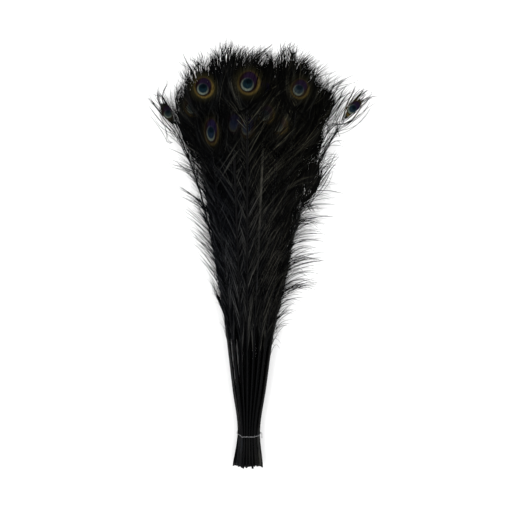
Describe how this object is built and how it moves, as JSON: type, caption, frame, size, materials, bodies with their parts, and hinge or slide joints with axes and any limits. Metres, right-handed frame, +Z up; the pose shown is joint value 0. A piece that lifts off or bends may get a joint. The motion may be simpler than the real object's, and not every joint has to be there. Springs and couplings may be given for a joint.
{
  "type": "bunch of dyed peacock feathers",
  "caption": "Tied bunch of dyed peacock tail feathers with eye markings, lying flat; a decorative bunch for a tall vase, a display or costume work.",
  "frame": {"origin": "middle of the underside of the bunch, halfway along and across its overall box, on the surface it lies on", "axes": "+Y along the feathers from the cut quill ends to the heads, +X to the right when seen from above with the heads up, +Z up from the surface"},
  "size_m": [0.478, 0.8454, 0.0616],
  "materials": {
    "feather": "matte barbs dyed near black, with a faint blue and olive sheen and coloured eye markings",
    "wire": "bright soft wire"
  },
  "bodies": {
    "root": {"feather_01": "feather", "feather_02": "feather", "feather_03": "feather", "feather_04": "feather", "feather_05": "feather", "feather_06": "feather", "feather_07": "feather", "feather_08": "feather", "feather_09": "feather", "feather_10": "feather", "feather_11": "feather", "feather_12": "feather", "feather_13": "feather", "feather_14": "feather", "feather_15": "feather", "feather_16": "feather", "feather_17": "feather", "feather_18": "feather", "feather_19": "feather", "feather_20": "feather", "feather_21": "feather", "feather_22": "feather", "feather_23": "feather", "feather_24": "feather", "feather_25": "feather", "feather_26": "feather", "feather_27": "feather", "feather_28": "feather", "feather_29": "feather", "feather_30": "feather", "feather_31": "feather", "feather_32": "feather", "feather_33": "feather", "feather_34": "feather", "feather_35": "feather", "feather_36": "feather", "feather_37": "feather", "feather_38": "feather", "feather_39": "feather", "feather_40": "feather", "feather_41": "feather", "feather_42": "feather", "feather_43": "feather", "feather_44": "feather", "feather_45": "feather", "feather_46": "feather", "feather_47": "feather", "feather_48": "feather", "feather_49": "feather", "feather_50": "feather", "feather_51": "feather", "feather_52": "feather", "feather_53": "feather", "feather_54": "feather", "feather_55": "feather", "feather_56": "feather", "feather_57": "feather", "feather_58": "feather", "tie_wire": "wire"}
  },
  "joints": []
}
